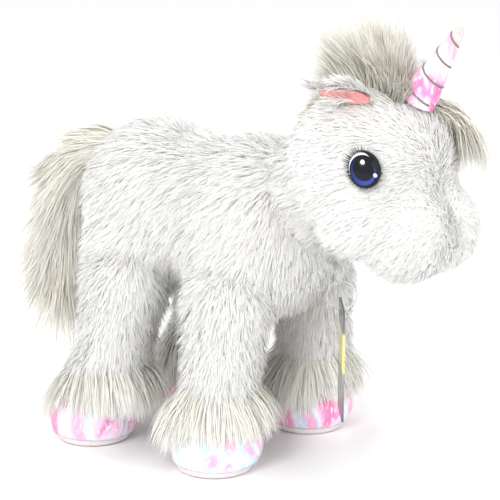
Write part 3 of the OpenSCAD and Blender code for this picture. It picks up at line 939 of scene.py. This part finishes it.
def eye_material():
    """A printed eye: black rim, white crescent, blue iris and wide pupil, with two glints that are painted
    highlights.
    """
    mat, tree, shader = material("printed_eye", (0.01, 0.01, 0.02), 0.15)
    shader.inputs["Specular IOR Level"].default_value = 0.25
    uv = tree.add("ShaderNodeUVMap", uv_map="OFBake").outputs["UV"]

    def disc(x, y, radius, soft, squash=1.0):
        """1 inside a round spot at (x, y) on a map that runs from -1 to 1."""
        spot = tree.vmath("MULTIPLY_ADD", uv, (2.0, 2.0, 0.0), (-1.0 - x, -1.0 - y, 0.0))
        spot = tree.vmath("MULTIPLY", spot, (1.0, squash, 0.0))
        gap = tree.vmath("LENGTH", spot)
        node = tree.add("ShaderNodeMapRange", {"Value": gap, "From Min": radius, "From Max": radius + soft,
                                               "To Min": 1.0, "To Max": 0.0})
        return node.outputs["Result"]

    black = (0.006, 0.007, 0.012, 1.0)
    split = tree.add("ShaderNodeSeparateXYZ", {"Vector": uv})
    blue = ramp(tree, split.outputs["Y"], [
        (0.12, (0.035, 0.07, 0.34)), (0.4, (0.015, 0.03, 0.17)), (0.8, (0.01, 0.016, 0.08)),
    ])
    look = tree.mix(disc(-0.14, 0.16, 0.78, 0.04), black, (0.85, 0.90, 0.97, 1.0))
    look = tree.mix(disc(-0.02, -0.08, 0.82, 0.03), look, black)
    look = tree.mix(disc(-0.06, -0.08, 0.72, 0.03), look, blue)
    look = tree.mix(disc(0.03, 0.02, 0.60, 0.05), look, black)
    # painted highlights: a white glint above the pupil and a pale blue glint at the lower right
    look = tree.mix(disc(0.14, 0.36, 0.10, 0.03), look, (1.0, 1.0, 1.0, 1.0))
    look = tree.mix(disc(0.52, -0.50, 0.08, 0.05), look, (0.70, 0.80, 0.95, 1.0))
    tree.put(shader.inputs["Base Color"], look)
    return mat


EYE = eye_material()
EYE_HALF = Vector((7.3 * MM, 8.6 * MM))
EYE_DOME = 3.2 * MM
EYE_TILT = math.radians(24)
LASH_SEED = 7
LASH = material("lash_felt", (0.012, 0.012, 0.016), 0.85)[0]


def eye_frame(side):
    """x points to the viewer's right, y up and z out, as seen by someone who looks at the eye."""
    out = EYE_AXIS[side]
    right = Vector((0, 0, 1)).cross(out).normalized()
    up = out.cross(right)
    tilt = EYE_TILT * SIDES[side]
    axes = Matrix((right, up, out)).transposed().to_4x4()
    return Matrix.Translation(HEAD + out * (HEAD_R - 2.2 * MM)) @ axes @ Matrix.Rotation(-tilt, 4, "Z")


def build_eye(side):
    at = eye_frame(side)
    rings, around = 12, 56
    verts, uvs = [at @ Vector((0, 0, EYE_DOME))], [(0.5, 0.5)]
    for ring in range(1, rings + 2):
        share = min(ring / rings, 1.0)
        for i in range(around):
            a = 2 * math.pi * i / around
            x, y = share * math.cos(a), share * math.sin(a)
            z = EYE_DOME * (1 - share ** 2.4) if ring <= rings else -2.5 * MM
            verts.append(at @ Vector((x * EYE_HALF.x, y * EYE_HALF.y, z)))
            uvs.append((0.5 + 0.49 * x * SIDES[side] * -1, 0.5 + 0.49 * y))
    faces = [(0, 1 + i, 1 + (i + 1) % around) for i in range(around)]
    for ring in range(rings):
        low, high = 1 + ring * around, 1 + (ring + 1) * around
        faces += [(low + i, high + i, high + (i + 1) % around, low + (i + 1) % around) for i in range(around)]
    faces.append(tuple(1 + rings * around + i for i in reversed(range(around))))
    mesh = mesh_from("eye", verts, faces)
    layer = mesh.uv_layers.new(name="OFBake")
    for loop in mesh.loops:
        layer.data[loop.index].uv = uvs[loop.vertex_index]
    mesh.materials.append(EYE)
    eye = new_object(f"{side}_eye_dome", mesh)
    finish_piece(eye, "head", "eye_plastic", f"eye_{side}")

    def rim(b, r, z):
        """A point r outside the eye's rim at the angle b, z above its base."""
        return at @ Vector(((EYE_HALF.x + r) * math.cos(b), (EYE_HALF.y + r) * math.sin(b), z))

    rng = np.random.default_rng(LASH_SEED)
    verts, faces = [], []
    count = 120
    for i in range(count):
        a = 2 * math.pi * (i + rng.uniform(-0.4, 0.4)) / count
        upper = max(0.0, math.cos(a - math.radians(115 if SIDES[side] < 0 else 65)))
        reach = (0.7 + 0.9 * rng.uniform() + 2.6 * upper ** 3 * rng.uniform(0.5, 1.0)) * MM
        half = 0.028
        base = len(verts)
        verts += [rim(a - half, -1.0 * MM, 1.1 * MM), rim(a + half, -1.0 * MM, 1.1 * MM),
                  rim(a + rng.uniform(-0.03, 0.03), reach, (1.2 + 1.2 * rng.uniform()) * MM)]
        faces.append((base, base + 1, base + 2))
    lashes = new_object(f"{side}_lashes", mesh_from("lashes", verts, faces, smooth=False))
    lashes.data.materials.append(LASH)
    finish_piece(lashes, "head", "eye_plastic")


for name in SIDES:
    build_eye(name)


# ---- ears ----

CORAL = cloth_material("coral_satin", (0.90, 0.42, 0.40), (0.80, 0.30, 0.30), 500.0, 0.45, 0.3)


EAR_LENGTH = 27 * MM
EAR_HALF = 7.5 * MM
EAR_ROLL = math.radians(70)
EAR_DROP = 3 * MM


def ear_frame(side):
    """x runs from base to tip, z points to the furry back; the mouth of the ear looks down and outwards."""
    hinge = pivot(f"{side}_ear_flop")
    along = (centre(f"ear_{side}") - hinge).normalized()
    back = centre(f"ear_{side}") - centre(f"ear_lining_{side}")
    back = (back - along * back.dot(along)).normalized()
    axes = Matrix((along, back.cross(along), back)).transposed().to_4x4()
    place = Matrix.Translation(hinge - Vector((0, 0, EAR_DROP)))
    return place @ axes @ Matrix.Rotation(-EAR_ROLL * SIDES[side], 4, "X")


def ear_leaf(side, scale, lift, thick):
    """A closed cupped leaf: two layers that meet at the rim."""
    at = ear_frame(side)
    rows, columns = 24, 12
    verts, faces = [], []
    for layer in (0, 1):
        for r in range(rows + 1):
            u = 0.02 + 0.96 * r / rows
            half = EAR_HALF * scale * math.sin(math.pi * u ** 0.8) ** 0.75
            for c in range(columns + 1):
                v = -1 + 2 * c / columns
                cup = 3.5 * MM * (1 - v * v) * math.sin(math.pi * u)
                height = lift + cup + (thick * (1 - v * v) * math.sin(math.pi * u) if layer else 0.0)
                reach = EAR_LENGTH * (u - 0.5) * scale + EAR_LENGTH * 0.5
                verts.append(at @ Vector((reach, v * half, height)))
    wide = columns + 1
    size = (rows + 1) * wide
    for r in range(rows):
        for c in range(columns):
            a = r * wide + c
            faces.append((a, a + 1, a + wide + 1, a + wide))
            faces.append((size + a, size + a + wide, size + a + wide + 1, size + a + 1))
    rim = [c for c in range(wide)] + [r * wide + columns for r in range(1, rows + 1)]
    rim += [rows * wide + c for c in reversed(range(columns))] + [r * wide for r in reversed(range(1, rows))]
    for a, b in zip(rim, rim[1:] + rim[:1]):
        faces.append((b, a, size + a, size + b))
    mesh = mesh_from("leaf", verts, faces)
    bm = bmesh.new()
    bm.from_mesh(mesh)
    bmesh.ops.recalc_face_normals(bm, faces=bm.faces)
    bm.to_mesh(mesh)
    bm.free()
    return mesh


def build_ear(side):
    body = f"{side}_ear"
    skin = new_object(f"{side}_ear_back", ear_leaf(side, 1.0, 0.4 * MM, 2.4 * MM))
    skin.data.materials.append(BACKING)
    finish_piece(skin, body, "white_plush", f"ear_{side}")
    lining = new_object(f"{side}_ear_lining", ear_leaf(side, 0.9, -0.6 * MM, 0.9 * MM))
    lining.data.materials.append(CORAL)
    finish_piece(lining, body, "coral_satin", f"ear_lining_{side}")

    at = ear_frame(side)
    spot = points_of(skin.data)
    normal = normals_of(skin.data)
    local = np.array([at.inverted() @ Vector(v) for v in spot])
    back = np.array(at.to_3x3() @ Vector((0, 0, 1)))
    tip_way = np.array(at.to_3x3() @ Vector((1, 0, 0)))
    rim = smoothstep(0.6, 0.95, np.abs(local[:, 1]) / EAR_HALF)
    rim = rim + smoothstep(0.8, 1.0, local[:, 0] / EAR_LENGTH)
    cover = np.clip(smoothstep(0.1, 0.5, normal @ back) + rim * (normal @ back > -0.3), 0, 1)
    start = normal * 0.5 + tip_way * 0.6
    end = normal * 0.2 + tip_way
    fur = grow(f"{side}_ear_fur", skin, start, end, FUR, cover=cover, trim=0.8 + 0.8 * rim.clip(0, 1),
               length=0.007, density=6.0e6, seed=120 + SIDES[side], clump_density=1.0e5, clump=0.5,
               clump_scatter=0.3, strand_scatter=0.2, width=0.0004)
    finish_piece(fur, body, "white_plush")


for name in SIDES:
    build_ear(name)


# ---- mouth, tag and loop ----

PALE_THREAD = cloth_material("pale_thread", (0.72, 0.62, 0.58), (0.60, 0.52, 0.48), 1800.0, 0.7, 0.3)


def build_mouth():
    points = []
    for k in range(41):
        a = math.radians(-60 + 56 * k / 40)
        r = LOBE_R - 5.4 * MM
        points.append(MUZZLE + Vector((r * math.cos(a) - 1 * MM, 0, r * math.sin(a) - 4 * MM)))
    verts, faces = tube(points, 0.5 * MM)
    stitch = new_object("muzzle_stitch", mesh_from("stitch", verts, faces))
    stitch.data.materials.append(PALE_THREAD)
    finish_piece(stitch, "head", "dark_thread", "mouth_stitch")


build_mouth()


def tag_material():
    """Plain bands on the card: dark, yellow and grey."""
    mat, tree, shader = material("printed_card", (0.8, 0.7, 0.3), 0.4, coat_weight=0.5, coat_roughness=0.1)
    low, high = box("hang_tag")
    coords = tree.add("ShaderNodeTexCoord").outputs["Object"]
    split = tree.add("ShaderNodeSeparateXYZ", {"Vector": coords})
    share = tree.add("ShaderNodeMapRange", {
        "Value": split.outputs["Z"], "From Min": low.z, "From Max": high.z,
    })
    stops = [(0.0, (0.10, 0.10, 0.11)), (0.44, (0.30, 0.30, 0.32)), (0.47, (0.90, 0.74, 0.22)),
             (0.78, (0.94, 0.80, 0.30)), (0.81, (0.16, 0.15, 0.15)), (1.0, (0.12, 0.12, 0.12))]
    tree.put(shader.inputs["Base Color"], ramp(tree, share.outputs["Result"], stops))
    return mat


frame["nodes"]["hang_tag"].data.materials[0] = tag_material()
CLEAR_PLASTIC = material("clear_plastic", (0.96, 0.96, 0.96), 0.15, transmission_weight=0.95)[0]
frame["nodes"]["tag_loop"].data.materials[0] = CLEAR_PLASTIC


# ---- floor, lights and camera ----

VIEW_AZIMUTH = math.radians(37.1)
VIEW_ELEVATION = math.radians(12.2)
VIEW_DISTANCE = 0.85
VIEW_CENTRE = Vector((0.0004, 0.0, 0.110))
SENSOR_WIDTH = 36.0
LENS = 3.4 * SENSOR_WIDTH
FLOOR_HALF = 6.0


def view_axes():
    a, e = VIEW_AZIMUTH, VIEW_ELEVATION
    back = Vector((math.sin(a) * math.cos(e), -math.cos(a) * math.cos(e), math.sin(e)))
    right = Vector((math.cos(a), math.sin(a), 0))
    return right, back.cross(right), back


def set_camera():
    right, up, back = view_axes()
    data = bpy.data.cameras.new("camera")
    data.sensor_width = SENSOR_WIDTH
    data.lens = LENS
    data.clip_start = 0.05
    camera = link(bpy.data.objects.new("camera", data))
    camera.location = VIEW_CENTRE + back * VIEW_DISTANCE
    target = VIEW_CENTRE + right * 12.9 * MM - up * 11.8 * MM
    camera.rotation_euler = (target - camera.location).to_track_quat("-Z", "Y").to_euler()
    bpy.context.scene.camera = camera


def area_light(name, place, size, energy, aim=VIEW_CENTRE):
    data = bpy.data.lights.new(name, "AREA")
    data.shape = "DISK"
    data.size = size
    data.energy = energy
    light = link(bpy.data.objects.new(name, data))
    light.location = place
    light.rotation_euler = (aim - Vector(place)).to_track_quat("-Z", "Y").to_euler()


def set_stage():
    half = FLOOR_HALF
    verts = [(-half, -half, 0), (half, -half, 0), (half, half, 0), (-half, half, 0)]
    floor = new_object("floor", mesh_from("floor", verts, [(0, 1, 2, 3)], smooth=False))
    mat, _, _ = material("floor", (0.97, 0.97, 0.97), 0.9)
    floor.data.materials.append(mat)
    right, up, back = view_axes()
    area_light("key", VIEW_CENTRE + back * 1.2 + right * -0.35 + up * 0.45, 0.5, 8.0)
    area_light("fill", VIEW_CENTRE + back * 0.8 + right * 1.0 + up * 0.3, 0.9, 2.0)
    area_light("top", VIEW_CENTRE + Vector((-0.2, 0.1, 1.3)), 1.2, 3.0)
    world = bpy.data.worlds.new("world")
    world.use_nodes = True
    world.node_tree.nodes["Background"].inputs["Color"].default_value = (1.0, 1.0, 1.0, 1.0)
    world.node_tree.nodes["Background"].inputs["Strength"].default_value = 1.0
    bpy.context.scene.world = world
    bpy.context.scene.view_settings.view_transform = "Standard"


set_camera()
set_stage()
